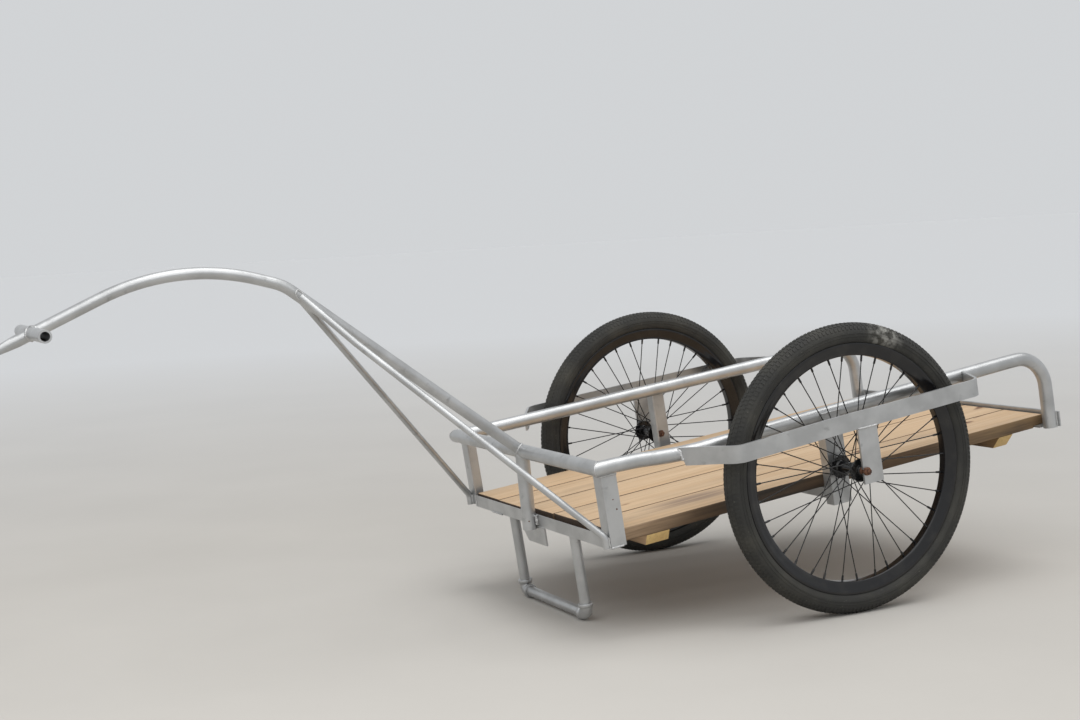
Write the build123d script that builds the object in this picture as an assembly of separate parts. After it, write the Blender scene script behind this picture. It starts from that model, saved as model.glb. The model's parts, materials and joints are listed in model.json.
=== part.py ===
"""A two-wheeled bicycle trailer of welded pipe and angle iron with a plank deck.

Every piece is drawn level: origin in the middle of the axle line, +X forward to the
drawbar, +Y to the left, +Z up.  The finished pieces are then tipped forward about the
axle line until the stand's foot and both tyres touch the floor.  Millimetres, degrees.
"""
from build123d import *
from math import asin, atan2, cos, degrees, hypot, radians, sin, tan
import os

# Wheels: balloon tyres on wire wheels, one stub axle each
rim_seat_r = 281.0
tyre_height = 54.0
tyre_width = 54.0
tyre_wall_height = 26.0
crown_width = 20.0
tread_width = 44.0
tread_drop = 10.0
bead_width = 29.0
rim_lip = 8.5
rim_lip_gap = 32.0
rim_width = 37.0
rim_depth = 21.0
rim_shoulder = 10.0
rim_shoulder_width = 29.0
rim_base_width = 18.5
spoke_d = 2.6
spoke_sides = 6
spokes_per_lean = 9
spoke_cross = 60.0
spoke_rim_gap = 0.4
hub_length = 92.0
hub_barrel_r = 13.0
hub_flange_r = 27.0
hub_flange_t = 3.0
hub_flange_gap = 73.0
hub_cap_wall = 2.0
spoke_circle_r = 22.5
wheel_y = 477.0
axle_d = 9.5
dropout_gap = 108.0
cone_r = 9.0
nut_across_flats = 17.0
nut_t = 9.0
axle_stub = 6.0
running_fit = 0.05
slot_fit = 0.1
running_gap = 0.5

# Pipe sizes
rail_od = 33.7
rail_wall = 2.6
drawbar_od = 26.9
drawbar_wall = 2.6
handle_od = 28.0
handle_wall = 4.0
brace_d = 16.0
stand_od = 25.0
stand_wall = 2.3

# Rail hoop round the deck
rail_z = 127.5
rail_front_x = 598.5
rail_rear_x = -654.0
rail_bend_r = 80.0

# Angle iron: corner posts and rear crossmember, lighter front crossmember and axle beam
angle_leg = 38.0
angle_t = 4.0
toe_share = 0.6
post_x = 594.0
post_inset = 3.0
frame_bottom_z = -53.5
cross_leg = 30.0
cross_t = 3.0
rear_notch = 1.0
beam_leg = 25.0
centre_post_drop = 4.5
centre_post_lean = 12.0
tab_t = 4.0
tab_depth = 45.0
tab_right_y = 46.0
tab_left_y = -80.0
tab_slant = 24.0
tab_shoulder = 17.0
tab_corner_r = 12.0

# Wheel carriers outside the deck
carrier_t = 5.0
carrier_width = 50.0
carrier_front_leg = 30.0
carrier_front_x = 22.0
carrier_bottom_z = -90.0
outrigger_t = 6.0
outrigger_height = 40.0
outrigger_z = 118.5
outrigger_bend_r = 40.0
outrigger_front_room = -5.0
outrigger_front_splay = 73.0
outrigger_rear_room = 10.0
outrigger_rear_splay = 59.0
dropout_front_x = 7.0
dropout_width = 52.0
dropout_bottom_z = -30.0

# Plank deck
deck_top_z = -25.0
plank_t = 30.0
plank_gap = 3.5
plank_ease = 2.0
deck_rear_x = -665.0
batten_half = 365.0
# low edge in Y, high edge in Y, front end in X
PLANKS = ((-367.0, -226.0, 586.0), (-226.0, -85.0, 588.0), (-85.0, 62.0, 573.0), (62.0, 219.0, 570.0),
          (219.0, 367.0, 568.0))
# name, low edge in X, high edge in X, thickness, bevel under each end
BATTENS = (("front", 427.0, 487.0, 25.0, 14.0), ("rear", -566.0, -522.0, 30.0, 29.0))

# Drawbar: straight from the front rail, a knee, a long crown, then down to the tongue
drawbar_rise = 44.4
knee_x = 1104.7
knee_r = 120.0
crown_run = 225.2
crown_rise = 97.9
crown_r = 510.0
nose_dip = 16.7
handle_run = 330.0
handle_length = 328.0
handle_shift = 11.0
tongue_stub = 31.0
tongue_taper = 80.0
tongue_blade = 45.0
tongue_width = 36.0
tongue_t = 10.0
tongue_hole_d = 12.5
brace_top_back = 32.0
brace_top_y = 12.0
brace_foot_y = 388.0
brace_foot_z = -28.5
brace_foot_bend_r = 20.0
brace_foot_flat = 1.5
brace_kink_at = 157.0
brace_kink_sag = 8.0
brace_kink_r = 150.0

# Stand: a pipe hoop with two elbow fittings
stand_x = 574.6
stand_half = 169.6
stand_z = -252.6
elbow_r = 15.0
elbow_arm = 28.0
bead_r = 17.5
bead_length = 11.0

# Worked-out places
tyre_r = rim_seat_r + tyre_height
rim_inner_r = rim_seat_r - rim_depth
rail_r = rail_od / 2
drawbar_r = drawbar_od / 2
handle_r = handle_od / 2
stand_r = stand_od / 2
inner_face_y = wheel_y - dropout_gap / 2
outer_face_y = wheel_y + dropout_gap / 2
rail_y = inner_face_y - carrier_t - rail_r
post_y = rail_y - post_inset
deck_bottom_z = deck_top_z - plank_t
cross_bottom_z = deck_bottom_z - cross_t
rear_face_x = rail_rear_x - rail_r
rise_slope = tan(radians(drawbar_rise))
knee_z = rail_z + (knee_x - rail_front_x) * rise_slope
crown_x = knee_x + crown_run
crown_z = knee_z + crown_rise
handle_x = crown_x + handle_run
stand_reach = hypot(stand_x, stand_z)
park_pitch = degrees(asin((tyre_r - bead_r) / stand_reach) - atan2(-stand_z, stand_x))
SIDES = (("left", 1), ("right", -1))
LOW_END = (Align.CENTER, Align.CENTER, Align.MIN)


def rod(start, end, radius):
    """A round bar between two points."""
    run = Vector(*end) - Vector(*start)
    return Plane(origin=start, z_dir=run) * Cylinder(radius, run.length, align=LOW_END)


def pipe(start, end, radius, wall):
    """A hollow round bar between two points."""
    return rod(start, end, radius) - rod(start, end, radius - wall)


def bent(points, radii, radius):
    """A round bar along straight runs joined by arcs, one radius for each corner."""
    path = FilletPolyline(*points, radius=radii)
    section = Plane(origin=path @ 0, z_dir=path % 0) * Circle(radius)
    return sweep(section, path=path)


def block(x, y, z):
    """A box between low and high values on each axis."""
    size = [abs(high - low) for low, high in (x, y, z)]
    place = [min(low, high) for low, high in (x, y, z)]
    return Pos(*place) * Box(*size, align=(Align.MIN, Align.MIN, Align.MIN))


def turned(outline, y):
    """A solid turned about the axle line: outline in (radius, offset along Y)."""
    section = Plane(origin=(0, y, 0)) * make_face(Polyline(*outline, close=True))
    return revolve(section, Axis.Y)


def ring(half, y):
    """A ring with two like sides: half its section, from one middle point round to the other."""
    return turned([*half, *((r, -w) for r, w in reversed(half))], y)


def angle_bar(corner, leg_a, leg_b, t, a_dir, along, length):
    """Angle iron from a corner: one leg towards a_dir, the other square to it, with rounded root and toes."""
    outline = make_face(Polyline((0, 0), (leg_a, 0), (leg_a, t), (t, t), (t, leg_b), (0, leg_b), close=True))
    corners = outline.vertices()
    toes = [corners.sort_by_distance(tip)[0] for tip in ((leg_a, t), (t, leg_b))]
    outline = fillet(toes, t * toe_share)
    root = outline.vertices().sort_by_distance((t, t))[0]
    section = Plane(origin=corner, x_dir=a_dir, z_dir=along) * fillet(root, t)
    return extrude(section, length)


def across(solid):
    """The same piece on the other side of the trailer."""
    return mirror(solid, about=Plane.XZ)


def tyre(y):
    """Balloon tyre, its rounded section drawn in straight strips."""
    return ring([(tyre_r, crown_width / 2), (tyre_r - tread_drop, tread_width / 2),
                 (rim_seat_r + tyre_wall_height, tyre_width / 2), (rim_seat_r + rim_lip, rim_lip_gap / 2),
                 (rim_seat_r, bead_width / 2)], y)


def rim(y):
    """Rolled rim: lips outside the tyre's beads, sides falling in to a narrow base that takes the spokes."""
    return ring([(rim_seat_r, bead_width / 2), (rim_seat_r + rim_lip, rim_lip_gap / 2),
                 (rim_seat_r + rim_lip, rim_width / 2), (rim_inner_r + rim_shoulder, rim_shoulder_width / 2),
                 (rim_inner_r, rim_base_width / 2)], y)


def wire(start, end, radius):
    """A thin bar with few sides between two points."""
    run = Vector(*end) - Vector(*start)
    return extrude(Plane(origin=start, z_dir=run) * RegularPolygon(radius, spoke_sides), run.length)


def spoked_hub(y):
    """Flanged hub with its crossed spokes.

    On each flange half the spokes leave the outer face and lean one way, and half leave the
    inner face and lean the other way, so that the two sets cross side by side.
    """
    face_in = hub_flange_gap / 2
    face_out = face_in + hub_flange_t
    bore = axle_d / 2 + running_fit
    body = ring([(bore, hub_length / 2), (cone_r + hub_cap_wall, hub_length / 2), (hub_barrel_r, face_out),
                 (hub_flange_r, face_out), (hub_flange_r, face_in), (hub_barrel_r, face_in)], y)
    step = 360 / spokes_per_lean
    reach = rim_inner_r - spoke_rim_gap
    # offset at the flange, offset at the rim, first hole's angle, lean
    leans = ((face_out, hub_flange_t + spoke_d, 0, 1), (face_in, spoke_d, step / 2, -1))
    wires = []
    for side in (1, -1):
        for at_flange, at_rim, first, lean in leans:
            for number in range(spokes_per_lean):
                hub_angle = radians(first + step * (number + side / 8))
                rim_angle = hub_angle + radians(lean * spoke_cross)
                wires.append(wire(
                    (spoke_circle_r * cos(hub_angle), y + side * at_flange, spoke_circle_r * sin(hub_angle)),
                    (reach * cos(rim_angle), y + side * at_rim, reach * sin(rim_angle)), spoke_d / 2))
    return body + wires


def stub_axle(y):
    """Fixed axle with a cone against each end of the hub and a threaded tail through each plate."""
    cone_in = hub_length / 2 + running_gap
    cone_out = dropout_gap / 2
    tail_in = -(cone_out + carrier_t + nut_t + axle_stub)
    tail_out = cone_out + outrigger_t + nut_t + axle_stub
    r = axle_d / 2
    return turned([(0, tail_in), (r, tail_in), (r, -cone_out), (cone_r, -cone_out), (cone_r, -cone_in),
                   (r, -cone_in), (r, cone_in), (cone_r, cone_in), (cone_r, cone_out), (r, cone_out),
                   (r, tail_out), (0, tail_out)], y)


def axle_nuts():
    hexagon = RegularPolygon(nut_across_flats / 2, 6, major_radius=False) - Circle(axle_d / 2 + running_fit)
    faces = (outer_face_y + outrigger_t + nut_t, inner_face_y - carrier_t)
    return [extrude(Plane(origin=(0, y, 0), z_dir=(0, -1, 0)) * hexagon, nut_t) for y in faces]


def axle_hole(y, t):
    """Clearance for the axle through a plate whose outer face is at y."""
    return rod((0, y - 2 * t, 0), (0, y + t, 0), axle_d / 2 + slot_fit)


def front_post():
    """Upright of angle iron at the deck's left front corner, its corner outwards."""
    return angle_bar((post_x, post_y, frame_bottom_z), angle_leg, angle_leg, angle_t, (-1, 0, 0), (0, 0, 1),
                     rail_z - frame_bottom_z)


def wheel_carrier():
    """Angle-iron hanger between the side rail and the inner end of the axle."""
    bar = angle_bar((carrier_front_x, inner_face_y, carrier_bottom_z), carrier_width, carrier_front_leg,
                    carrier_t, (-1, 0, 0), (0, 0, 1), rail_z - carrier_bottom_z)
    return bar - axle_hole(inner_face_y, carrier_t)


def outrigger():
    """Flat bar that carries the outer end of the axle, bent out from the side rail and back."""
    mid_y = outer_face_y + outrigger_t / 2
    front_x = tyre_r + outrigger_front_room
    rear_x = -tyre_r - outrigger_rear_room
    route = [(front_x + outrigger_front_splay, rail_y, outrigger_z), (front_x, mid_y, outrigger_z),
             (rear_x, mid_y, outrigger_z), (rear_x - outrigger_rear_splay, rail_y, outrigger_z)]
    path = FilletPolyline(*route, radius=outrigger_bend_r)
    start = Plane(origin=path @ 0, x_dir=(0, 0, 1), z_dir=path % 0)
    return sweep(start * Rectangle(outrigger_height, outrigger_t), path=path)


def outer_dropout():
    """Plate under the outrigger with a slot, open to the front, for the axle."""
    outer_y = outer_face_y + outrigger_t
    plate = block((dropout_front_x - dropout_width, dropout_front_x), (outer_face_y, outer_y),
                  (dropout_bottom_z, outrigger_z - outrigger_height / 2))
    slot_r = axle_d / 2 + slot_fit
    mouth = block((0, dropout_width), (outer_face_y - outrigger_t, outer_y + outrigger_t), (-slot_r, slot_r))
    return plate - axle_hole(outer_y, outrigger_t) - mouth


def drawbar_point(x):
    """Point on the falling stretch of the drawbar's centre line."""
    return (x, 0, crown_z - (x - crown_x) * tan(radians(nose_dip)))


def drawbar_bar(radius):
    route = [(rail_front_x, 0, rail_z), (knee_x, 0, knee_z), (crown_x, 0, crown_z), drawbar_point(handle_x)]
    return bent(route, [knee_r, crown_r], radius)


def tongue():
    """Pipe beyond the handle, hammered from round to a flat blade with a pin hole."""
    root = Vector(*drawbar_point(handle_x))
    along = Vector(cos(radians(nose_dip)), 0, -sin(radians(nose_dip)))
    up = Vector(sin(radians(nose_dip)), 0, cos(radians(nose_dip)))
    shoulder = root + along * tongue_stub
    neck = shoulder + along * tongue_taper
    eye = neck + along * tongue_blade
    neck_r = hypot(tongue_width, tongue_t) / 2
    spread = Plane(origin=shoulder, z_dir=along) * Cone(drawbar_r, neck_r, tongue_taper, align=LOW_END)
    side = [shoulder + up * drawbar_r, neck + up * (tongue_t / 2), neck - up * (tongue_t / 2),
            shoulder - up * drawbar_r]
    wedge = extrude(make_face(Polyline(*side, close=True)), amount=tongue_width, both=True)
    flat = Plane(origin=eye - up * (tongue_t / 2), x_dir=along, z_dir=up)
    outline = Circle(tongue_width / 2) + Pos(-tongue_blade / 2, 0) * Rectangle(tongue_blade, tongue_width)
    blade = extrude(flat * (outline - Circle(tongue_hole_d / 2)), tongue_t)
    return rod(tuple(root), tuple(shoulder), drawbar_r) + (spread & wedge) + blade


def brace(kinked):
    """Left brace rod from the drawbar's knee to the corner post, its end bent down along the post's foot."""
    top_x = knee_x - brace_top_back
    top = Vector(top_x, brace_top_y, rail_z + (top_x - rail_front_x) * rise_slope)
    bend = Vector(post_x + brace_d / 2 - brace_foot_flat, brace_foot_y, brace_foot_z)
    end = Vector(bend.X, bend.Y, frame_bottom_z)
    kink = top + (bend - top).normalized() * brace_kink_at - Vector(0, 0, brace_kink_sag)
    route, radii = [top, bend, end], [brace_foot_bend_r]
    if kinked:
        route.insert(1, kink)
        radii.insert(0, brace_kink_r)
    behind = block((post_x - brace_d, post_x), (0, rail_y), (frame_bottom_z, rail_z))
    return bent(route, radii, brace_d / 2) - behind


def elbow():
    """Threaded pipe elbow at the stand's left corner, with a bead at each mouth."""
    corner = Vector(stand_x, stand_half, stand_z)
    body = Pos(corner) * Sphere(elbow_r)
    for out in (Vector(0, 0, 1), Vector(0, -1, 0)):
        mouth = corner + out * elbow_arm
        body += rod(tuple(corner), tuple(mouth), elbow_r)
        body += rod(tuple(mouth - out * bead_length), tuple(mouth), bead_r)
    return body


def plank(low_y, high_y, front_x):
    """Deck board with eased long edges, rebated underneath where it sits on the rear angle iron."""
    board = block((deck_rear_x, front_x), (low_y, high_y), (deck_bottom_z, deck_top_z))
    board = chamfer(board.edges().filter_by(Axis.X), plank_ease)
    seat_end = rear_face_x - angle_t + angle_leg + plank_gap
    return board - block((deck_rear_x, seat_end), (low_y, high_y), (deck_bottom_z, frame_bottom_z + angle_t))


def batten(low_x, high_x, thickness, bevel):
    """Cross batten under the planks, both ends cut back underneath."""
    low_z = deck_bottom_z - thickness
    side = Polyline((low_x, -batten_half, deck_bottom_z), (low_x, batten_half, deck_bottom_z),
                    (low_x, batten_half - bevel, low_z), (low_x, bevel - batten_half, low_z), close=True)
    return extrude(make_face(side), high_x - low_x, dir=(1, 0, 0))


def front_tab():
    """Plate below the front crossmember with one corner cut away and rounded."""
    low_z = cross_bottom_z - tab_depth
    x = post_x - tab_t
    outline = make_face(Polyline(
        (x, tab_right_y, cross_bottom_z), (x, tab_right_y, low_z), (x, tab_left_y + tab_slant, low_z),
        (x, tab_left_y, cross_bottom_z - tab_shoulder), (x, tab_left_y, cross_bottom_z), close=True))
    plate = extrude(outline, tab_t, dir=(1, 0, 0))
    corner = plate.edges().filter_by(Axis.X).sort_by_distance((x, tab_left_y + tab_slant, low_z))[0]
    return fillet(corner, tab_corner_r)


pieces = {}

# Rail hoop: front rail and side rails meet in mitres
mitres = {side: Plane(origin=(rail_front_x, sign * rail_y, rail_z), z_dir=(1, -sign, 0))
          for side, sign in SIDES}
rail_outer = {}
for side, sign in SIDES:
    route = [(rail_front_x + rail_od, sign * rail_y, rail_z), (rail_rear_x, sign * rail_y, rail_z),
             (rail_rear_x, sign * rail_y, frame_bottom_z)]
    rail_outer[side] = split(bent(route, [rail_bend_r], rail_r), bisect_by=mitres[side], keep=Keep.BOTTOM)
    pieces[f"side_rail_{side}"] = rail_outer[side] - bent(route, [rail_bend_r], rail_r - rail_wall)
front_span = ((rail_front_x, rail_y + rail_od, rail_z), (rail_front_x, -rail_y - rail_od, rail_z))
front_outer = rod(*front_span, rail_r)
for plane in mitres.values():
    front_outer = split(front_outer, bisect_by=plane, keep=Keep.TOP)
pieces["front_rail"] = front_outer - rod(*front_span, rail_r - rail_wall)

# Angle iron under the deck
cross_half = post_y - angle_leg
pieces["front_crossmember"] = angle_bar((post_x, -cross_half, cross_bottom_z), cross_leg, cross_leg, cross_t,
                                        (-1, 0, 0), (0, 1, 0), 2 * cross_half)
rear_half = rail_y + rail_r
seat_half = rail_y - rail_r - rear_notch
rear_bar = angle_bar((rear_face_x - angle_t, rear_half, frame_bottom_z), angle_leg, angle_leg, angle_t,
                     (1, 0, 0), (0, -1, 0), 2 * rear_half)
for side, sign in SIDES:
    notch_y = (sign * seat_half, sign * (rear_half + rail_r))
    rear_bar -= block((rear_face_x, rear_face_x + angle_leg), notch_y, (frame_bottom_z, deck_top_z))
pieces["rear_crossmember"] = rear_bar
beam_half = inner_face_y - carrier_t
beam_front_x = carrier_front_x - 2 * carrier_t
pieces["axle_beam"] = angle_bar((beam_front_x, beam_half, deck_bottom_z), beam_leg, beam_leg, cross_t,
                                (-1, 0, 0), (0, -1, 0), 2 * beam_half)
pieces["front_tab"] = front_tab()

# Drawbar, pull handle across its end, tongue and centre post
drawbar_outer = drawbar_bar(drawbar_r)
handle_z = drawbar_point(handle_x)[2]
handle_ends = [(handle_x, handle_shift + sign * handle_length / 2, handle_z) for sign in (-1, 1)]
handle_outer = rod(*handle_ends, handle_r)
pieces["drawbar"] = drawbar_outer - drawbar_bar(drawbar_r - drawbar_wall) - front_outer - handle_outer
pieces["pull_handle"] = pipe(*handle_ends, handle_r, handle_wall)
pieces["coupling_tongue"] = tongue() - handle_outer
centre_top = (rail_front_x, 0, rail_z)
centre_foot = (rail_front_x + centre_post_lean, 0, cross_bottom_z - centre_post_drop)
pieces["front_centre_post"] = (pipe(centre_top, centre_foot, rail_r, rail_wall) - front_outer - drawbar_outer
                               - pieces["front_crossmember"] - pieces["front_tab"])

# What stands on both sides
leg_top = (stand_x, stand_half, cross_bottom_z)
leg_foot = (stand_x, stand_half, stand_z + elbow_arm)
left = {
    "front_post": front_post() - front_outer - rail_outer["left"],
    "wheel_carrier": wheel_carrier() - rail_outer["left"],
    "outrigger": outrigger() - rail_outer["left"],
    "outer_dropout": outer_dropout(),
    "stub_axle": stub_axle(wheel_y),
    "stand_leg": pipe(leg_top, leg_foot, stand_r, stand_wall),
    "stand_elbow": elbow(),
    "tyre": tyre(wheel_y),
    "rim": rim(wheel_y),
    "spoked_hub": spoked_hub(wheel_y),
}
for name, solid in left.items():
    pieces[f"{name}_left"] = solid
    pieces[f"{name}_right"] = across(solid)
nuts = axle_nuts()
pieces["axle_nuts_left"] = Compound(children=nuts)
pieces["axle_nuts_right"] = Compound(children=[across(nut) for nut in nuts])
pieces["brace_left"] = brace(kinked=True) - drawbar_outer
pieces["brace_right"] = across(brace(kinked=False)) - drawbar_outer
foot_ends = [(stand_x, sign * (stand_half - elbow_arm), stand_z) for sign in (-1, 1)]
pieces["stand_foot"] = pipe(*foot_ends, stand_r, stand_wall)

# Deck
for number, (low_y, high_y, front_x) in enumerate(PLANKS, start=1):
    pieces[f"plank_{number}"] = plank(low_y + plank_gap / 2, high_y - plank_gap / 2, front_x)
for name, low_x, high_x, thickness, bevel in BATTENS:
    pieces[f"batten_{name}"] = batten(low_x, high_x, thickness, bevel)

# Park it: tip forward about the axle line, stand it on the floor, centre it over the origin
tipped = {name: Pos(0, 0, tyre_r) * Rot(0, park_pitch, 0) * solid for name, solid in pieces.items()}
boxes = [solid.bounding_box() for solid in tipped.values()]
centre_x = (min(box.min.X for box in boxes) + max(box.max.X for box in boxes)) / 2
os.makedirs("parts", exist_ok=True)
for name, solid in tipped.items():
    export_step(Pos(-centre_x, 0, 0) * solid, f"parts/{name}.step")
print(f"pitch {park_pitch:.4f} deg, axle at x {-centre_x:.3f} z {tyre_r:.3f}, {len(pieces)} nodes")
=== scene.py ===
# %% [markdown]
# # A bicycle trailer, dressed for the camera
#
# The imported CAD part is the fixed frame: two wire wheels, a pipe rail round a plank deck, a bent drawbar
# and a stand.  This script keeps most of its pipes and all its angle iron, gives every piece its finish,
# and builds anew what a lathe, a saw, a welder or a heavy load leaves on the real one: round tyres with
# worn tread, spokes with nipples, eased planks, threads, weld beads and a bent left side.

# %% [markdown]
# ## Load the frame
#
# The trailer is parked nose down on its stand, so hardly anything on it is level in the world.  Pieces are
# easier to write in the trailer's own level frame: millimetres, origin in the middle of the axle line,
# +X forward, +Y left, +Z up.  `LEVEL` takes such a point to the world.  The tip angle comes from the deck's
# mount and the axle from the wheel joints, so the pieces follow the CAD part.

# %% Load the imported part
import bmesh
import bpy
import json
import random
from math import atan2, cos, pi, radians, sin, sqrt, tan
from mathutils import Matrix, Vector


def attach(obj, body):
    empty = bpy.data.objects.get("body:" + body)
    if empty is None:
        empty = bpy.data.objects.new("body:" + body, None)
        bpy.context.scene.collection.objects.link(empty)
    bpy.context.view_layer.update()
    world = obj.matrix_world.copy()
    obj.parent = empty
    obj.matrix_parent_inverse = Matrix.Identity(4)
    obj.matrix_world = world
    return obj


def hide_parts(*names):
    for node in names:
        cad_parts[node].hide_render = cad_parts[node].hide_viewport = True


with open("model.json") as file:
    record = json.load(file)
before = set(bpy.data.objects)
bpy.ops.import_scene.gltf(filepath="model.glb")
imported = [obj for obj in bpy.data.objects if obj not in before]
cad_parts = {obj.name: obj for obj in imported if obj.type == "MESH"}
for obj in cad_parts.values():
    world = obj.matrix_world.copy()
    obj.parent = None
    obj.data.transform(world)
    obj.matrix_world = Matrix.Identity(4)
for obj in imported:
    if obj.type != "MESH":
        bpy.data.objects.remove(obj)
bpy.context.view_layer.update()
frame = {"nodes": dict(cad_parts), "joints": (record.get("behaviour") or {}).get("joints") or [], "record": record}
scene = bpy.context.scene
mounts = {mount["name"]: mount for mount in frame["record"]["mounts"]}
deck_up = mounts["load_deck"]["axis"]
axle = frame["joints"][0]["pos_m"]
pitch = atan2(deck_up[0], deck_up[2])
metres_per_mm = 0.001
TIP = Matrix.Rotation(pitch, 4, "Y")
LEVEL = Matrix.Translation((axle[0], 0, axle[2])) @ TIP @ Matrix.Scale(metres_per_mm, 4)
SIDES = (("left", 1), ("right", -1))


def level_box(name):
    """Low and high corner of a CAD node in the level frame, in millimetres."""
    back = LEVEL.inverted()
    places = [back @ v.co for v in frame["nodes"][name].data.vertices]
    return [Vector(pick(p[i] for p in places) for i in range(3)) for pick in (min, max)]


def lathe_box(name):
    """Middle along the axle line, half width and outer radius of a round CAD node on the wheel."""
    low, high = level_box(name)
    return (low.y + high.y) / 2, (high.y - low.y) / 2, high.x


print("nodes", len(frame["nodes"]), "pitch", round(pitch, 4), "axle", axle)

# %% [markdown]
# ## Camera
#
# A camera fitted to measured points of the photograph stands about 4.4 m from the axle, on the trailer's
# left and ahead of it.  It could be placed by eye, but a fitted one lets every pipe be set against the
# photograph.  It is written in the level frame, like everything else, and tipped with the trailer.

# %% Camera
photo_width = 1080
focal_px = 1701.23
sensor_mm = 36
camera_place = Vector((2172, 3691, 859))
look_right = Vector((-0.8919, 0.4235, -0.1588))
look_ahead = Vector((-0.4065, -0.9045, -0.1289))

camera = bpy.data.objects.new("camera", bpy.data.cameras.new("camera"))
scene.collection.objects.link(camera)
camera.data.sensor_width = sensor_mm
camera.data.lens = focal_px / photo_width * sensor_mm
look_up = look_right.cross(look_ahead)
facing = Matrix((look_right, look_up, -look_ahead)).transposed().to_4x4()
camera.matrix_world = Matrix.Translation(LEVEL @ camera_place) @ TIP @ facing
scene.camera = camera
print("camera", [round(x, 3) for x in camera.matrix_world.translation], "lens", round(camera.data.lens, 2))

# %% [markdown]
# ## Finishes
#
# Paint, rubber and wood could be image textures, but noise on object coordinates needs no files and no
# unwrapping.  A few small helpers keep the node trees short: `node` adds a node with its settings,
# `speckle` gives a noise value, `near` a ragged patch round a place and `blend` mixes two colours.

# %% Node helpers
# share of a patch's reach inside which it is full
patch_core = 0.3
# a Mix node has like-named sockets for every data type, so its colours are picked by number
MIX_COLOURS, MIX_RESULT = (6, 7), 2


def node(tree, kind, **settings):
    """Adds a node; a setting goes to the input socket of that name, or else to the node itself."""
    made = tree.nodes.new(kind)
    for key, value in settings.items():
        name = key.replace("_", " ").title()
        if name in made.inputs:
            made.inputs[name].default_value = value
        else:
            setattr(made, key, value)
    return made


def speckle(tree, scale, low, high, detail=4.0, stretch=(1, 1, 1), source=None):
    """Noise turned into a value that goes from 0 to 1 between low and high."""
    place = source or node(tree, "ShaderNodeTexCoord").outputs["Object"]
    mapping = node(tree, "ShaderNodeMapping", scale=stretch)
    noise = node(tree, "ShaderNodeTexNoise", scale=scale, detail=detail)
    steps = node(tree, "ShaderNodeMapRange", from_min=low, from_max=high)
    tree.links.new(place, mapping.inputs["Vector"])
    tree.links.new(mapping.outputs["Vector"], noise.inputs["Vector"])
    tree.links.new(noise.outputs["Fac"], steps.inputs["Value"])
    return steps.outputs["Result"]


def near(tree, place, reach, ragged, stretch=1):
    """Falls from 1 near a place to 0 at its reach, times a ragged value; stretch draws it out along X."""
    squeeze = node(tree, "ShaderNodeMapping", scale=(1 / stretch, 1, 1))
    tree.links.new(node(tree, "ShaderNodeTexCoord").outputs["Object"], squeeze.inputs["Vector"])
    gap = node(tree, "ShaderNodeVectorMath", operation="DISTANCE")
    gap.inputs[1].default_value = (place[0] / stretch, place[1], place[2])
    tree.links.new(squeeze.outputs["Vector"], gap.inputs[0])
    fall = node(tree, "ShaderNodeMapRange", from_min=reach, from_max=reach * patch_core)
    tree.links.new(gap.outputs["Value"], fall.inputs["Value"])
    patch = node(tree, "ShaderNodeMath", operation="MULTIPLY")
    tree.links.new(fall.outputs["Result"], patch.inputs[0])
    tree.links.new(ragged, patch.inputs[1])
    return patch.outputs["Value"]


def blend(tree, share, first, second):
    """Two colours mixed by a value; a colour is three numbers or a socket."""
    mix = node(tree, "ShaderNodeMix", data_type="RGBA")
    tree.links.new(share, mix.inputs[0])
    for socket, colour in zip(MIX_COLOURS, (first, second)):
        if isinstance(colour, bpy.types.NodeSocket):
            tree.links.new(colour, mix.inputs[socket])
        else:
            mix.inputs[socket].default_value = (*colour, 1)
    return mix.outputs[MIX_RESULT]


# %% [markdown]
# Three more helpers start a material and close it: `finish` makes it with its main shader, `relief` turns
# a value into surface relief, and `wire_up` joins colour and relief to the shader.

# %% Material helpers


def finish(name, metallic, roughness):
    """A material with its tree and its main shader."""
    made = bpy.data.materials.new(name)
    made.use_nodes = True
    shader = made.node_tree.nodes["Principled BSDF"]
    shader.inputs["Metallic"].default_value = metallic
    shader.inputs["Roughness"].default_value = roughness
    return made, made.node_tree, shader


def relief(tree, height, depth):
    """Surface relief from a value; depth in metres."""
    bump = node(tree, "ShaderNodeBump", distance=depth)
    tree.links.new(height, bump.inputs["Height"])
    return bump.outputs["Normal"]


def wire_up(tree, shader, colour, normal=None):
    """Joins a colour, and a relief where there is one, to the main shader."""
    tree.links.new(colour, shader.inputs["Base Color"])
    if normal:
        tree.links.new(normal, shader.inputs["Normal"])


def darker(colour, share):
    """A colour taken down to a share of itself."""
    return [c * share for c in colour]


# %% [markdown]
# ### Metal, rubber and enamel
#
# The steel is brushed with aluminium paint: satin, a little blotchy, grey where hands and loads have
# rubbed.  Flakes in the paint mirror like metal, so the shader is mostly metallic.  Welds are the same
# paint over rough metal.  Rubber is grey-black with brown dust, pale specks and one pale scuff on the left
# tyre.  The rims and spokes are gloss black, the axle ends rusty.

# %% Metal, rubber and enamel
paint_metallic, paint_dull, paint_rubbed = 0.8, 0.82, 0.6
rubber_black, rubber_dust = (0.022, 0.0215, 0.019), (0.052, 0.049, 0.039)
rubber_speck, rubber_scuff = (0.2, 0.185, 0.155), (0.24, 0.235, 0.215)
enamel_black, enamel_worn = (0.005, 0.005, 0.006), (0.02, 0.019, 0.017)
rust_dark, rust_light = (0.05, 0.024, 0.016), (0.17, 0.075, 0.04)
tyre_scuff = Vector((-128.8, 497.0, 286.9))
tyre_scuff_reach = 0.055


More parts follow.
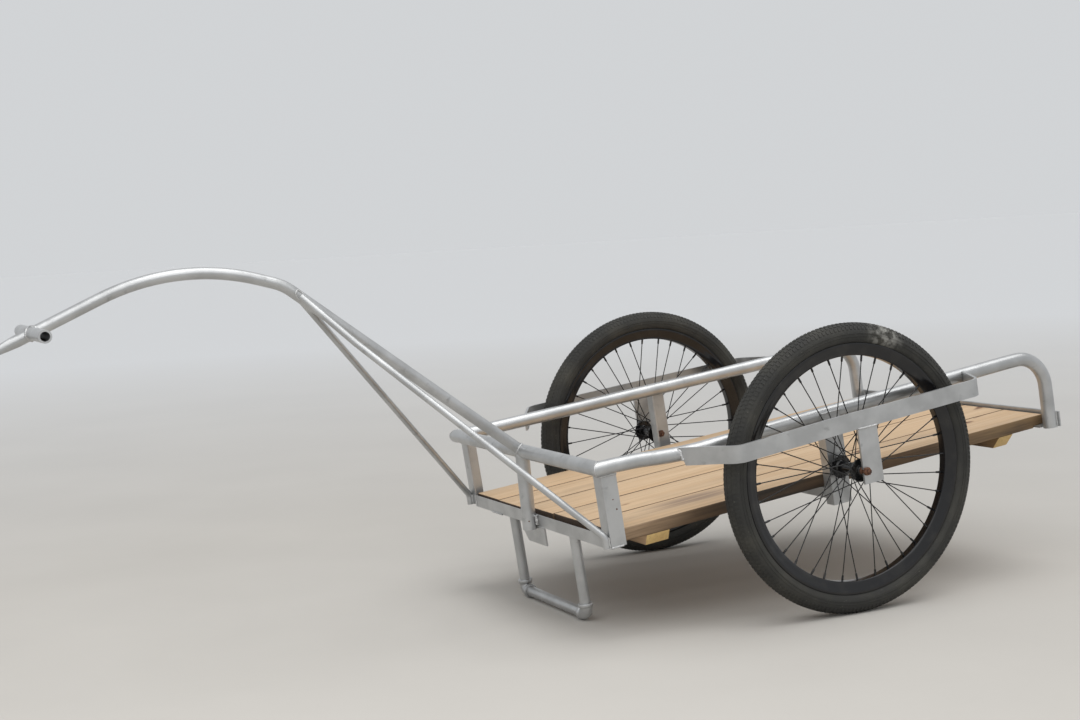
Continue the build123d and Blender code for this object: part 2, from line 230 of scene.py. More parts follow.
def silver_paint(name, roughness, grain_depth, light):
    made, tree, shader = finish(name, paint_metallic, roughness)
    blotches = blend(tree, speckle(tree, 16, 0.38, 0.62), darker(light, paint_dull), light)
    worn = speckle(tree, 38, 0.64, 0.78, detail=8)
    rubbed = blend(tree, worn, blotches, darker(light, paint_rubbed))
    wire_up(tree, shader, rubbed, relief(tree, speckle(tree, 380, 0.2, 0.8, detail=3), grain_depth))
    return made


def tyre_rubber():
    made, tree, shader = finish("tyre_rubber", 0, 0.72)
    dusty = blend(tree, speckle(tree, 11, 0.42, 0.72, detail=8), rubber_black, rubber_dust)
    specked = blend(tree, speckle(tree, 240, 0.71, 0.78, detail=3), dusty, rubber_speck)
    scuff = near(tree, LEVEL @ tyre_scuff, tyre_scuff_reach, speckle(tree, 70, 0.42, 0.6, detail=6))
    scuffed = blend(tree, scuff, specked, rubber_scuff)
    wire_up(tree, shader, scuffed, relief(tree, speckle(tree, 600, 0.3, 0.7, detail=3), 0.0006))
    return made


def black_enamel():
    made, tree, shader = finish("black_enamel", 0, 0.2)
    wire_up(tree, shader, blend(tree, speckle(tree, 30, 0.5, 0.8), enamel_black, enamel_worn))
    return made


def rusty_steel():
    made, tree, shader = finish("rusty_steel", 0.2, 0.8)
    patches = blend(tree, speckle(tree, 160, 0.35, 0.65, detail=6), rust_dark, rust_light)
    wire_up(tree, shader, patches, relief(tree, speckle(tree, 900, 0.2, 0.8), 0.0005))
    return made


SILVER = silver_paint("silver_paint", 0.38, 0.00014, (0.51, 0.515, 0.515))
WELD = silver_paint("weld_paint", 0.38, 0.0009, (0.58, 0.58, 0.575))
RUBBER = tyre_rubber()
ENAMEL = black_enamel()
RUST = rusty_steel()
print("made", [made.name for made in (SILVER, WELD, RUBBER, ENAMEL, RUST)])

# %% [markdown]
# ### Pine
#
# Grain runs along each board, so the boards carry their own coordinates in an attribute named `board`:
# metres along, across and through the board, shifted for each board so that no two are alike.  A UV map
# could hold them too, but it would break at the edges.  Sawn edges are a little browner than the faces and
# are darkened further as painted shade, the planks' ends are painted almost black as shade, and the battens'
# sawn ends are yellow.  The left plank has a grey-brown stain on top, and its side carries painted light and
# shade: pale where lit at the front, almost black with painted shade beside the wheel, and lighter warm brown
# at the rear.

# %% Pine
# place in the level frame, reach in metres, how far it is drawn out along the board, colour
PLANK_STAINS = ((Vector((300, 272, -25)), 0.055, 3.5, (0.28, 0.19, 0.125)),)
# painted light and shade along the left plank's side: almost black shade beside the wheel, pale where lit at the
# front, warm brown at the rear
SIDE_LIGHT_AND_SHADE = ((Vector((100, 366, -40)), 0.12, 3.0, (0.018, 0.013, 0.009)),
               (Vector((575, 366, -40)), 0.13, 1.7, (0.52, 0.36, 0.22)),
               (Vector((-560, 366, -40)), 0.1, 2.4, (0.3, 0.19, 0.085)))
pine_knot = (0.17, 0.075, 0.03)
pine_tone, pine_line = 0.86, 0.8


def pine(name, pale, streak, stain, stains_and_shade=()):
    made, tree, shader = finish(name, 0, 0.66)
    board = node(tree, "ShaderNodeAttribute", attribute_name="board").outputs["Vector"]

    def streaks(low, high, detail, along, across):
        """Noise drawn out along the board; along and across say how often it changes in a metre."""
        return speckle(tree, 1, low, high, detail, (along, across, across), board)

    tone = blend(tree, streaks(0.35, 0.65, 2, 0.4, 1.5), pale, darker(pale, pine_tone))
    broad = blend(tree, streaks(0.38, 0.66, 6, 1.1, 26), tone, streak)
    lines = streaks(0.45, 0.75, 4, 2.5, 190)
    lined = blend(tree, lines, broad, darker(streak, pine_line))
    aged = blend(tree, streaks(0.56, 0.8, 6, 3.2, 9), lined, stain)
    colour = blend(tree, streaks(0.735, 0.77, 1, 7, 17), aged, pine_knot)
    # real stains and patches of painted light and shade are laid on alike
    for place, reach, stretch, tint in stains_and_shade:
        ragged = streaks(0.3, 0.55, 5, 2.4, 34)
        colour = blend(tree, near(tree, LEVEL @ place, reach, ragged, stretch), colour, tint)
    wire_up(tree, shader, colour, relief(tree, lines, 0.0005))
    return made


PINE = pine("pine", (0.63, 0.45, 0.28), (0.54, 0.365, 0.21), (0.4, 0.285, 0.18), PLANK_STAINS)
# the sawn edge is a little browner than the face and darker still with painted shade, as side faces lie in shade
PINE_EDGE_SHADED = pine("pine_edge_shaded", (0.2, 0.122, 0.062), (0.1, 0.06, 0.031), (0.036, 0.024, 0.015), SIDE_LIGHT_AND_SHADE)
# painted shade: the planks' ends sit in dark gaps against the crossmembers and are painted almost black
PINE_SHADED_END = pine("pine_shaded_end", (0.07, 0.042, 0.024), (0.05, 0.03, 0.018), (0.03, 0.02, 0.014))
PINE_END = pine("pine_end", (0.7, 0.49, 0.2), (0.62, 0.41, 0.165), (0.4, 0.25, 0.12))
print("made", [made.name for made in (PINE, PINE_EDGE_SHADED, PINE_SHADED_END, PINE_END)])

# %% [markdown]
# ## Dress the CAD nodes
#
# Each CAD node takes the finish that the record names for it.  Nodes that a new piece replaces further on
# are dressed too, so nothing is ever bare.

# %% Dress the CAD nodes
FINISH_OF_SLOT = {"silver_paint": SILVER, "pine": PINE, "tyre_rubber": RUBBER, "black_enamel": ENAMEL,
                  "rusty_steel": RUST}
for subpart in frame["record"]["subparts"]:
    mesh = frame["nodes"][subpart["node"]].data
    mesh.materials.clear()
    mesh.materials.append(FINISH_OF_SLOT[subpart["material_slot"]])

# %% [markdown]
# ## Helpers for new pieces
#
# A piece is built in level millimetres, taken to the world, smoothed up to an edge angle and set on its
# body.  `settle` does this for every piece, so that no piece can miss a step.

# %% Settle a piece


def to_mesh(name, shape):
    """Turns a shape's faces outwards and makes it a mesh."""
    bmesh.ops.recalc_face_normals(shape, faces=shape.faces)
    mesh = bpy.data.meshes.new(name)
    shape.to_mesh(mesh)
    shape.free()
    return mesh


def settle(name, shape, materials, body, stands_for=(), edge=35):
    """Sets a level shape or mesh on its body with its finishes, and hides the CAD nodes it stands for."""
    mesh = to_mesh(name, shape) if isinstance(shape, bmesh.types.BMesh) else shape
    mesh.transform(LEVEL)
    for material in materials:
        mesh.materials.append(material)
    mesh.shade_smooth()
    mesh.set_sharp_from_angle(angle=radians(edge))
    made = bpy.data.objects.new(name, mesh)
    scene.collection.objects.link(made)
    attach(made, body)
    if stands_for:
        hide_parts(*stands_for)
    print(name, "on", body, "faces", len(mesh.polygons))


# %% [markdown]
# Most of the trailer is round or long.  `ring` lathes a half section about the axle line.  `bars` makes
# round bars along runs of points, each with its own thickness: a curve with a bevel does this better than
# rings of vertices would, and serves for spokes, threads, fittings and weld beads.  `cut_across` divides a
# long shape so that it can waver or bend.

# %% Rings, bars and cuts


def spread(start, end, steps):
    """Even values from start to end."""
    return [start + (end - start) * i / steps for i in range(steps + 1)]


def arc(middle, radius, start, end, steps):
    """Points (radius, offset) round a middle; 0 degrees points outwards, 90 degrees to the side."""
    angles = [radians(angle) for angle in spread(start, end, steps)]
    return [(middle[0] + radius * cos(a), middle[1] + radius * sin(a)) for a in angles]


def ring(shape, half, y, steps):
    """Lathes a ring with two like sides; half is its section on one side, as points (radius, offset)."""
    outline = [*half, *((r, -w) for r, w in reversed(half))]
    verts = [shape.verts.new((r, y + w, 0)) for r, w in outline]
    edges = [shape.edges.new((a, b)) for a, b in zip(verts, verts[1:] + verts[:1])]
    bmesh.ops.spin(shape, geom=verts + edges, cent=(0, 0, 0), axis=(0, 1, 0), angle=2 * pi, steps=steps,
                   use_merge=True)


def bars(name, runs, roundness=3):
    """Round bars as one mesh.  A run is (points, radii, closed)."""
    curve = bpy.data.curves.new(name, "CURVE")
    curve.dimensions = "3D"
    curve.bevel_depth = 1
    curve.bevel_resolution = roundness
    curve.use_fill_caps = True
    for points, radii, closed in runs:
        spline = curve.splines.new("POLY")
        spline.points.add(len(points) - 1)
        spline.use_cyclic_u = closed
        for target, point, radius in zip(spline.points, points, radii):
            target.co = (*point, 1)
            target.radius = radius
    source = bpy.data.objects.new(name, curve)
    scene.collection.objects.link(source)
    evaluated = source.evaluated_get(bpy.context.evaluated_depsgraph_get())
    mesh = bpy.data.meshes.new_from_object(evaluated)
    bpy.data.objects.remove(source)
    bpy.data.curves.remove(curve)
    mesh.name = name
    mesh.materials.clear()
    return mesh


def cut_across(shape, places):
    """Cuts a shape through at places along X."""
    for x in places:
        bmesh.ops.bisect_plane(shape, geom=[*shape.verts, *shape.edges, *shape.faces], plane_co=(x, 0, 0),
                               plane_no=(1, 0, 0))


# %% [markdown]
# ## Wheels
#
# The tyre is a true round section on the CAD tyre's centre, with two thin ribs on each sidewall and rows of
# worn cross bars on the crown and shoulders.  Their tops reach the CAD tyre's radius.  The bars could be a
# bump in the material, but real blocks also show in the tyre's outline.

# %% Tyres
tread_bars = 190
tread_height = 1.0
bar_depth = 1.6 * tread_height
wheel_steps = 160
# angle round the section, bar length along the section, bar width round the wheel, shift in bars
TREAD_ROWS = ((0, 9.0, 5.6, 0), (27, 8.5, 5.4, 0.5), (-27, 8.5, 5.4, 0.5), (52, 9.5, 4.6, 0),
              (-52, 9.5, 4.6, 0))
# start and end angle round the section, steps
CROWN_ARC, WALL_ARC = (3, 74, 12), (106, 128, 4)
TYRE_RIBS = (84, 98)
rib_top, rib_foot, rib_margin = 1, 1.6, 4
rim_seat_r = 281.0
bead_width = 29.0
rim_lip_gap = 32.0
rim_lip = 8.5

for side, _ in SIDES:
    wheel_y, section_r, tyre_r = lathe_box(f"tyre_{side}")
    middle_r, carcass_r = tyre_r - section_r, section_r - tread_height
    middle = (middle_r, 0)
    half = arc(middle, carcass_r, *CROWN_ARC)
    for rib in TYRE_RIBS:
        half += [*arc(middle, carcass_r, rib - rib_margin, rib - rib_foot, 1),
                 *arc(middle, section_r, rib - rib_top, rib + rib_top, 1),
                 *arc(middle, carcass_r, rib + rib_foot, rib + rib_margin, 1)]
    half += [*arc(middle, carcass_r, *WALL_ARC), (rim_seat_r + rim_lip, rim_lip_gap / 2),
             (rim_seat_r, bead_width / 2)]
    carcass = bmesh.new()
    ring(carcass, half, wheel_y, wheel_steps)
    for turn, length, width, shift in TREAD_ROWS:
        size = Matrix.Diagonal((bar_depth, length, width, 1))
        on_section = (Matrix.Translation((middle_r, 0, 0)) @ Matrix.Rotation(radians(turn), 4, "Z")
                      @ Matrix.Translation((section_r - bar_depth / 2, 0, 0)) @ size)
        for number in range(tread_bars):
            spin = Matrix.Rotation(2 * pi * (number + shift) / tread_bars, 4, "Y")
            place = Matrix.Translation((0, wheel_y, 0)) @ spin @ on_section
            bmesh.ops.create_cube(carcass, size=1, matrix=place)
    settle(f"worn_tyre_{side}", carcass, [RUBBER], f"wheel_{side}",
           stands_for=[f"tyre_{side}"])

# %% [markdown]
# The rim is rolled sheet: rounded lips, a slanting wall and a round-cornered base.  A lathe turn of half
# its section gives all of them at once.

# %% Rims
rim_inner_r = 260.0
rim_base_width = 18.5
rim_shoulder = 10.0
rim_shoulder_width = 29.0
lip_round, lip_foot_in = 1.2, 0.5
wall_drop, wall_in = 3, 2.2
base_round, base_in = 4, 1
LIP_ARC, BASE_ARC = (-60, 90, 6), (125, 180, 4)

for side, _ in SIDES:
    wheel_y, rim_half, lip_r = lathe_box(f"rim_{side}")
    half = [(rim_seat_r, bead_width / 2), (lip_r - lip_round, rim_lip_gap / 2),
            *arc((lip_r - lip_round, rim_half - lip_round), lip_round, *LIP_ARC),
            (rim_seat_r, rim_half - lip_foot_in), (rim_seat_r - wall_drop, rim_half - wall_in),
            (rim_inner_r + rim_shoulder, rim_shoulder_width / 2),
            *arc((rim_inner_r + base_round, rim_base_width / 2 - base_in), base_round, *BASE_ARC)]
    rolled = bmesh.new()
    ring(rolled, half, wheel_y, wheel_steps)
    settle(f"rolled_rim_{side}", rolled, [ENAMEL], f"wheel_{side}",
           stands_for=[f"rim_{side}"])

# %% [markdown]
# Each spoke starts with a head on one face of the hub's flange, passes through, bends along the other face
# and ends in a nipple at the rim.  Half of them lean forward and half back, as in the CAD wheel.  One run
# of points with changing thickness makes head, wire and nipple together.

# %% Spokes
hub_flange_gap, hub_flange_t, hub_flange_r = 73.0, 3.0, 27.0
face_in, face_out = hub_flange_gap / 2, hub_flange_gap / 2 + hub_flange_t
spoke_circle_r, spoke_r = 22.5, 1.3
spokes_per_lean, spoke_cross = 9, 60.0
flange_turn = 1 / 8
spoke_rim_gap = 0.4
head_r, head_end, head_neck = 2 * spoke_r, 0.15, 0.2
nipple_r, nipple_length = 2.6, 14.0
nipple_taper, throat_step, throat_share = 2, 0.3, 0.75
# angle of the first hole, lean, flange face that the spoke runs along
SPOKE_SETS = ((0, 1, "outer"), (180 / spokes_per_lean, -1, "inner"))


def spoke_run(y, flange, first, lean, leaves, number):
    """Points and radii of one spoke, which runs along one flange face and has its head on the other."""
    hole = radians(first + 360 / spokes_per_lean * (number + flange * flange_turn))
    at_rim = hole + radians(lean * spoke_cross)
    start, head, rim_offset = face_out + spoke_r, face_in - spoke_r, hub_flange_t + 2 * spoke_r
    if leaves == "inner":
        start, head, rim_offset = face_in - spoke_r, face_out + spoke_r, 2 * spoke_r
    reach = rim_inner_r - spoke_rim_gap
    hub_point = Vector((spoke_circle_r * cos(hole), y + flange * start, spoke_circle_r * sin(hole)))
    head_point = Vector((hub_point.x, y + flange * head, hub_point.z))
    rim_point = Vector((reach * cos(at_rim), y + flange * rim_offset, reach * sin(at_rim)))
    run = (rim_point - hub_point).normalized()
    collar, throat = rim_point - run * (nipple_length - nipple_taper), rim_point - run * nipple_length
    points = [head_point, head_point.lerp(hub_point, head_end), head_point.lerp(hub_point, head_neck),
              hub_point, throat, throat + run * throat_step, collar, rim_point]
    radii = [head_r, head_r, spoke_r, spoke_r, spoke_r, nipple_r * throat_share, nipple_r, nipple_r]
    return points, radii, False


print("spokes in a wheel", 2 * len(SPOKE_SETS) * spokes_per_lean)

# %% [markdown]
# The hub is turned: a barrel between two flanges, with a cap over the bearing at each end.

# %% Hubs
hub_barrel_r, hub_cap_r = 13.0, 11.0
axle_bore_r = 4.8
cap_ease, cap_cove, flange_ease = 1.5, 3, 1
barrel_cove, barrel_cove_run = 3, 4
hub_steps = 64

for side, _ in SIDES:
    wheel_y, hub_half, _ = lathe_box(f"spoked_hub_{side}")
    half = [(axle_bore_r, hub_half), (hub_cap_r - cap_ease, hub_half), (hub_cap_r, hub_half - cap_ease),
            (hub_cap_r, face_out + cap_cove), (hub_barrel_r, face_out),
            (hub_flange_r - flange_ease, face_out), (hub_flange_r, face_out - flange_ease),
            (hub_flange_r, face_in + flange_ease), (hub_flange_r - flange_ease, face_in),
            (hub_barrel_r + barrel_cove, face_in), (hub_barrel_r, face_in - barrel_cove_run)]
    runs = [spoke_run(wheel_y, flange, *spoke_set, number)
            for flange in (1, -1) for spoke_set in SPOKE_SETS for number in range(spokes_per_lean)]
    hub = bmesh.new()
    ring(hub, half, wheel_y, hub_steps)
    hub.from_mesh(bars(f"spokes_{side}", runs))
    settle(f"wired_hub_{side}", hub, [ENAMEL], f"wheel_{side}",
           stands_for=[f"spoked_hub_{side}"])

# %% [markdown]
# ## Deck boards
#
# The CAD boards give places and sizes.  Each plank is pushed out from its side view, rebated at the rear
# where it sits on the angle iron, eased along all edges, and its sides waver a little as sawn boards do.
# A bevelled box would be quicker, but it would have no rebate and dead straight sides.

# %% Plank helpers
plank_ease = 2.4
plank_waver = 0.8
plank_steps = 40
seat_z = -49.5
seat_end_x = -633.35
# length of the waver on the right and on the left side, as run of X in a radian
WAVER_RUNS = (61, 81)
waver_phase_most = 9
# shift of the grain from board to board, in metres
grain_shift_along, grain_shift_across = 3.1, 0.37


def grain(mesh, number, along):
    """Board coordinates in metres with the grain along one axis, shifted from board to board."""
    attribute = mesh.attributes.new("board", "FLOAT_VECTOR", "POINT")
    for vert, value in zip(mesh.vertices, attribute.data):
        place = vert.co / 1000
        across = place.y if along == "x" else place.x
        value.vector = (getattr(place, along) + grain_shift_along * number,
                        across + grain_shift_across * number, place.z)


def plank(low, high, rng):
    """A plank from its side view, eased and wavering."""
    shape = bmesh.new()
    side_view = ((low.x, high.z), (low.x, seat_z), (seat_end_x, seat_z), (seat_end_x, low.z),
                 (high.x, low.z), (high.x, high.z))
    face = shape.faces.new([shape.verts.new((x, low.y, z)) for x, z in side_view])
    pushed = bmesh.ops.extrude_face_region(shape, geom=[face])["geom"]
    far_side = [part for part in pushed if isinstance(part, bmesh.types.BMVert)]
    bmesh.ops.translate(shape, verts=far_side, vec=(0, high.y - low.y, 0))
    bmesh.ops.bevel(shape, geom=shape.edges[:], offset=plank_ease, segments=3, profile=0.5, affect="EDGES",
                    material=-1)
    cut_across(shape, spread(low.x, high.x, plank_steps)[1:-1])
    middle_y, phases = (low.y + high.y) / 2, [rng.uniform(0, waver_phase_most) for _ in WAVER_RUNS]
    for vert in shape.verts:
        flank = 1 if vert.co.y > middle_y else 0
        inward = plank_waver * (1 + sin(vert.co.x / WAVER_RUNS[flank] + phases[flank])) / 2
        vert.co.y -= inward if flank else -inward
    return shape


# %% [markdown]
# A face takes its finish from the way it looks: up or down is pale pine, sideways the browner sawn edge
# with painted shade, and fore or aft the end, painted almost black as shade.

# %% Planks
plank_end_lean, plank_edge_lean = 0.5, 0.85

for number in range(1, 6):
    name = f"worn_plank_{number}"
    mesh = to_mesh(name, plank(*level_box(f"plank_{number}"), random.Random(number)))
    for face in mesh.polygons:
        is_edge = abs(face.normal.z) < plank_edge_lean
        # fore and aft faces take the end pine, painted almost black as shade; sideways faces the sawn edge with
        # painted shade
        face.material_index = 2 if abs(face.normal.x) > plank_end_lean else 1 if is_edge else 0
    grain(mesh, number, "x")
    settle(name, mesh, [PINE, PINE_EDGE_SHADED, PINE_SHADED_END], "frame", stands_for=[f"plank_{number}"],
           edge=50)

# %% [markdown]
# The two battens lie across under the planks.  Their ends are sawn off slantwise, cut back underneath, and
# show yellow end grain.  A box whose lower corners are pushed in makes the slanted cut.

# %% Battens
# name: how far the end is cut back at the bottom
BATTEN_BEVELS = {"front": 14.0, "rear": 29.0}
batten_ease = 1.5
batten_end_lean = 0.4

for number, (name, bevel) in enumerate(BATTEN_BEVELS.items(), start=6):
    low, high = level_box(f"batten_{name}")
    centre, size = (low + high) / 2, high - low
    shape = bmesh.new()
    bmesh.ops.create_cube(shape, size=1, matrix=Matrix.Translation(centre) @ Matrix.Diagonal((*size, 1)))
    for vert in shape.verts:
        if vert.co.z < centre.z:
            vert.co.y -= bevel if vert.co.y > 0 else -bevel
    bmesh.ops.bevel(shape, geom=shape.edges[:], offset=batten_ease, segments=2, profile=0.5, affect="EDGES",
                    material=-1)
    mesh = to_mesh(f"sawn_batten_{name}", shape)
    for face in mesh.polygons:
        # all but the ends take the sawn-edge pine with its painted shade; the ends show yellow end grain
        face.material_index = 1 if abs(face.normal.y) > batten_end_lean else 0
    grain(mesh, number, "y")
    settle(f"sawn_batten_{name}", mesh, [PINE_EDGE_SHADED, PINE_END], "frame",
           stands_for=[f"batten_{name}"])

# %% [markdown]
# ## Axles and stand fittings
#
# The axle's tails are threaded.  A true thread is a helix; at this size rings that go in and out by turns
# look the same and need far fewer faces.

# %% Axles
axle_r, cone_r = 4.75, 9.0
cone_in, cone_out = 46.3, 54.0
thread_pitch, thread_depth = 1.25, 0.45


def threaded(start, end):
    """Points along Y and radii of a threaded tail."""
    teeth = int(abs(end - start) / (thread_pitch / 2))
    points = [(0, y, 0) for y in spread(start, end, teeth)]
    return points, [axle_r - thread_depth * (i % 2) for i in range(teeth + 1)], False


def axle_runs(side):
    """Runs of a stub axle: two threaded tails, the bar between them and two cones."""
    low, high = level_box(f"stub_axle_{side}")
    wheel_y, _, _ = lathe_box(f"spoked_hub_{side}")
    runs = [threaded(wheel_y - cone_out, low.y), threaded(wheel_y + cone_out, high.y),
            ([(0, wheel_y - cone_out, 0), (0, wheel_y + cone_out, 0)], [axle_r, axle_r], False)]
    for end in (-1, 1):
        cone = [(0, wheel_y + end * reach, 0) for reach in (cone_in, cone_out)]
        runs.append((cone, [cone_r, cone_r], False))
    return runs


# %% [markdown]
# The nuts have turned-down corners on their outer faces: a six-sided cone without a taper, bevelled along
# the edges of that face.

# %% Nuts
nut_t, nut_chamfer = 9.0, 1.6
face_gap = 0.1


def hex_nuts(side):
    """The pair of nuts at the ends of a stub axle."""
    low, high = level_box(f"axle_nuts_{side}")
    nut_r = max(high.x, high.z)
    lie = Matrix.Rotation(pi / 2, 4, "X") @ Matrix.Rotation(0 if high.x > high.z else pi / 6, 4, "Z")
    nuts = bmesh.new()
    for face_y, out in ((low.y, -1), (high.y, 1)):
        middle = Matrix.Translation((0, face_y - out * nut_t / 2, 0))
        bmesh.ops.create_cone(nuts, cap_ends=True, segments=6, radius1=nut_r, radius2=nut_r, depth=nut_t,
                              matrix=middle @ lie)
        rim_edges = [e for e in nuts.edges if all(abs(v.co.y - face_y) < face_gap for v in e.verts)]
        bmesh.ops.bevel(nuts, geom=rim_edges, offset=nut_chamfer, segments=2, profile=0.5, affect="EDGES",
                        material=-1)
    return nuts


for side, _ in SIDES:
    rod = bars(f"threaded_axle_{side}", axle_runs(side), roundness=6)
    settle(f"threaded_axle_{side}", rod, [RUST], "frame", stands_for=[f"stub_axle_{side}"])
    settle(f"chamfered_nuts_{side}", hex_nuts(side), [RUST], "frame",
           stands_for=[f"axle_nuts_{side}"])

# %% [markdown]
# The stand's elbows are cast fittings with a round bend and a rounded bead at each mouth.  A bar along the
# bend and a short bar of changing thickness at each mouth make one.

# %% Stand elbows
elbow_r, elbow_bend_r, elbow_arm = 15.0, 16.0, 28.0
elbow_steps, mouth_inset = 8, 1
fitting_bead_r, fitting_bead_length = 17.5, 11.0
bead_shoulder, mouth_wall = 0.8, 1.5
# share of the bead's length, radius
MOUTH_BEAD = ((0, elbow_r), (0.12, fitting_bead_r - bead_shoulder), (0.3, fitting_bead_r),
              (0.75, fitting_bead_r), (0.93, fitting_bead_r - bead_shoulder), (1, elbow_r - mouth_wall))


def mouth_bead(corner, out):
    """A rounded bead at an elbow's mouth, along out."""
    start = elbow_arm - fitting_bead_length
    points = [corner + out * (start + share * fitting_bead_length) for share, _ in MOUTH_BEAD]
    return points, [radius for _, radius in MOUTH_BEAD], False


for side, sign in SIDES:
    leg_low, leg_high = level_box(f"stand_leg_{side}")
    corner = Vector(((leg_low.x + leg_high.x) / 2, (leg_low.y + leg_high.y) / 2, leg_low.z - elbow_arm))
    up, inward = Vector((0, 0, 1)), Vector((0, -sign, 0))
    bend = [corner + (up * (1 - sin(a)) + inward * (1 - cos(a))) * elbow_bend_r
            for a in (radians(angle) for angle in spread(0, 90, elbow_steps))]
    run = [corner + up * (elbow_arm - mouth_inset), *bend, corner + inward * (elbow_arm - mouth_inset)]
    fitting = bars(f"cast_elbow_{side}", [(run, [elbow_r] * len(run), False), mouth_bead(corner, up),
                                          mouth_bead(corner, inward)], roundness=6)
    settle(f"cast_elbow_{side}", fitting, [SILVER], "frame",
           stands_for=[f"stand_elbow_{side}"])

# %% [markdown]
# ## The bent left side
#
# Loads have bent the left rail: behind the front post it dips by a finger's width and then climbs evenly to
# the rear, and the flat outrigger bar goes with it.  A lattice modifier could bend them too, but a short
# table of dips says more plainly what was measured.  Each piece is a merged copy of its CAD node, cut
# across into short lengths and lowered place by place.  The rail's foot at the rear stays where it is.
# The bar's front end is sawn off slantwise where it meets the rail.

# %% The bent left side
# place along the trailer, dip there; a dip below zero is a rise
RAIL_DIPS = ((560.0, 0.0), (500.0, 2.5), (450.0, 7.5), (400.0, 11.4), (350.0, 12.5), (-540.0, -6.0))
OUTRIGGER_DIPS = ((405.0, 8.0), (350.0, 5.0), (310.0, 7.5), (100.0, 2.0), (10.0, 0.0), (-50.0, 0.0),
                  (-290.0, -4.0), (-400.0, -4.0))
dip_steps = 60
foot_z, bend_z = -53.5, 47.5
merge_gap, flat_angle = 0.01, radians(0.2)
bar_end = Vector((398.0, 410.0, 138.5))
bar_run = Vector((73.0, -133.0, 0)).normalized()
bar_out = Vector((133.0, 73.0, 0)).normalized()
bar_end_height, bar_end_slant = 40.0, 14.0


def dip_at(x, dips):
    """Dip at a place along the trailer."""
    x = min(max(x, dips[-1][0]), dips[0][0])
    (x0, dip0), (x1, dip1) = next(pair for pair in zip(dips, dips[1:]) if x >= pair[1][0])
    return dip0 + (dip1 - dip0) * (x0 - x) / (x0 - x1)


for cad_node, dips in (("side_rail_left", RAIL_DIPS), ("outrigger_left", OUTRIGGER_DIPS)):
    bent = bmesh.new()
    bent.from_mesh(frame["nodes"][cad_node].data)
    bmesh.ops.transform(bent, matrix=LEVEL.inverted(), verts=bent.verts)
    bmesh.ops.remove_doubles(bent, verts=bent.verts, dist=merge_gap)
    bmesh.ops.dissolve_limit(bent, angle_limit=flat_angle, verts=bent.verts, edges=bent.edges)
    if cad_node == "outrigger_left":
        out = bar_run * bar_end_height - Vector((0, 0, bar_end_slant))
        bmesh.ops.bisect_plane(bent, geom=[*bent.verts, *bent.edges, *bent.faces], plane_co=bar_end,
                               plane_no=out, clear_outer=True)
        bmesh.ops.holes_fill(bent, edges=bent.edges)
    cut_across(bent, spread(dips[0][0], dips[-1][0], dip_steps))
    for vert in bent.verts:
        above_foot = min((vert.co.z - foot_z) / (bend_z - foot_z), 1)
        vert.co.z -= dip_at(vert.co.x, dips) * above_foot
    settle(f"bent_{cad_node}", bent, [SILVER], "frame", stands_for=[cad_node])

# %% [markdown]
# ## Welds
#
# Every joint of the frame is arc-welded and painted over.  A bead follows the joint's line in short steps,
# thick and thin by turns and a little uneven.  It could be a plain thin pipe, but a weld's ripple is what
# the eye looks for.

# %% Weld beads
weld_step = 0.5
weld_waver = 0.12
weld_thin = 0.9
weld_uneven = (0.88, 1.12)


def bead(points, size, closed=False, seed=0):
    """A weld bead along points; its steps and its waver are shares of its size."""
    rng = random.Random(seed)
    points = [Vector(point) for point in points]
    path = []
    for a, b in zip(points, points[1:] + points[:1] if closed else points[1:]):
        count = max(1, round((b - a).length / (size * weld_step)))
        path += [a.lerp(b, i / count) for i in range(count)]
    if not closed:
        path.append(points[-1])
    path = [point + Vector([rng.uniform(-1, 1) for _ in range(3)]) * weld_waver * size for point in path]
    radii = [size * (1.0 if i % 2 else weld_thin) * rng.uniform(*weld_uneven) for i in range(len(path))]
    return path, radii, closed


def settle_welds(name, runs):
    """Sets the weld beads of one part of the frame on it."""
    name = f"welds_{name}"
    settle(name, bars(name, runs, roundness=2), [WELD], "frame", edge=60)


# %% [markdown]
# Where a round bar meets a round bar the line is a saddle: each point of the bar's skin runs along the bar
# until it reaches the other bar's skin.  Where a bar meets something flat the line is a hoop or part of one.

# %% Weld lines


def saddle(start, run, radius, host, host_run, host_r, steps=40):
    """Closed line where a round bar from start along run leaves the skin of a round host bar."""
    run, host_run = Vector(run).normalized(), Vector(host_run).normalized()
    side = run.cross(host_run).normalized()
    top = run.cross(side)
    square = run - host_run * run.dot(host_run)
    line = []
    for i in range(steps):
        turn = 2 * pi * i / steps
        skin = Vector(start) + (side * cos(turn) + top * sin(turn)) * radius
        gap = skin - Vector(host)
        gap -= host_run * gap.dot(host_run)
        half = gap.dot(square) / square.length_squared
        rest = half ** 2 - (gap.length_squared - host_r ** 2) / square.length_squared
        line.append(skin + run * (sqrt(max(rest, 0)) - half))
    return line


def hoop(centre, radius, first, second, start=0, end=360, steps=24):
    """Points on an arc round a centre, from the first direction towards the second."""
    turns = [radians(angle) for angle in spread(start, end, steps)]
    if end - start == 360:
        turns.pop()
    return [Vector(centre) + (Vector(first) * cos(t) + Vector(second) * sin(t)) * radius for t in turns]


# %% [markdown]
# At the front the corner posts, the centre post, the crossmember with its tab and the braces' feet are
# welded.  The mitres of the rail are ground almost flush.

